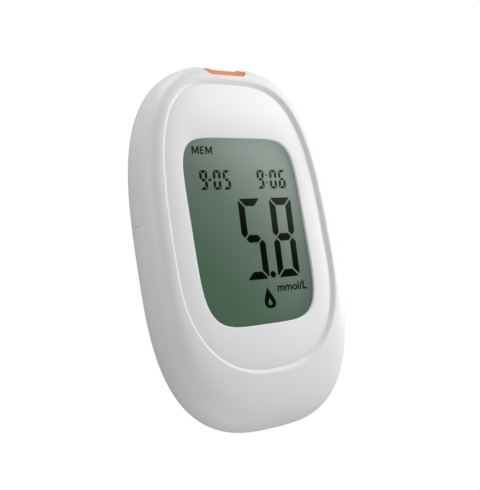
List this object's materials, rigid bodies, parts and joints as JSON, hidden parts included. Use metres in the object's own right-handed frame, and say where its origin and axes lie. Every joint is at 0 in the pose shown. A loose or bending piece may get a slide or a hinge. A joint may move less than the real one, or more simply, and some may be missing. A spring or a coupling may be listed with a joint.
{
  "type": "blood glucose meter",
  "caption": "Hand-held blood glucose meter: oval white case, large sunken display, orange test strip port at the top end, side key and rear battery door.",
  "frame": {"origin": "under the middle of the case, on the plane of its flat back", "axes": "+X to the right across the display, +Y up the display towards the strip port, +Z out of the display"},
  "size_m": [0.06, 0.096, 0.022],
  "materials": {
    "white_shell": "satin-gloss white ABS",
    "face_panel": "smooth white sheet",
    "clear_lens": "clear polished acrylic",
    "display_glass": "grey-green liquid crystal glass",
    "reflector": "silvered film",
    "orange_plastic": "satin orange ABS",
    "black_plastic": "moulded matt black",
    "foam": "soft closed-cell foam",
    "silicone_rubber": "layered silicone rubber",
    "circuit_board": "green solder mask",
    "plated_steel": "nickel-plated steel",
    "gold_contact": "gold-plated spring metal",
    "cell_jacket": "printed steel jacket"
  },
  "bodies": {
    "case": {"front_shell": "white_shell", "rear_shell": "white_shell", "face_panel": "face_panel", "display_lens": "clear_lens", "display_gasket": "foam", "lcd_glass": "display_glass", "lcd_reflector": "reflector", "lcd_frame": "black_plastic", "zebra_strip": "silicone_rubber", "main_board": "circuit_board", "processor_chip": "black_plastic", "analog_chip": "black_plastic", "memory_chip": "black_plastic", "clock_crystal": "plated_steel", "buzzer": "black_plastic", "strip_port_trim": "orange_plastic", "strip_connector": "black_plastic", "strip_contact_1": "gold_contact", "strip_contact_2": "gold_contact", "strip_contact_3": "gold_contact", "strip_contact_4": "gold_contact", "key_switch": "black_plastic", "battery_cell_1": "cell_jacket", "battery_cell_2": "cell_jacket", "contact_bridge": "plated_steel", "contact_plate_1": "plated_steel", "contact_plate_2": "plated_steel", "contact_spring_1": "plated_steel", "contact_spring_2": "plated_steel", "case_screw_1": "plated_steel", "case_screw_2": "plated_steel", "case_screw_3": "plated_steel", "case_screw_4": "plated_steel", "board_screw_1": "plated_steel", "board_screw_2": "plated_steel"},
    "side_key": {"side_key": "white_shell", "switch_plunger": "black_plastic"},
    "battery_door": {"battery_door": "white_shell"}
  },
  "joints": [
    {"name": "side_key_press", "type": "slide", "parent": "case", "child": "side_key", "axis": [1, 0, 0], "range_m": [0, 0.0005], "stiffness_N_per_m": 1500},
    {"name": "battery_door_hinge", "type": "hinge", "parent": "case", "child": "battery_door", "pos_m": [0, -0.0335, 0.00015], "axis": [-1, 0, 0], "range_deg": [0, 75]}
  ]
}
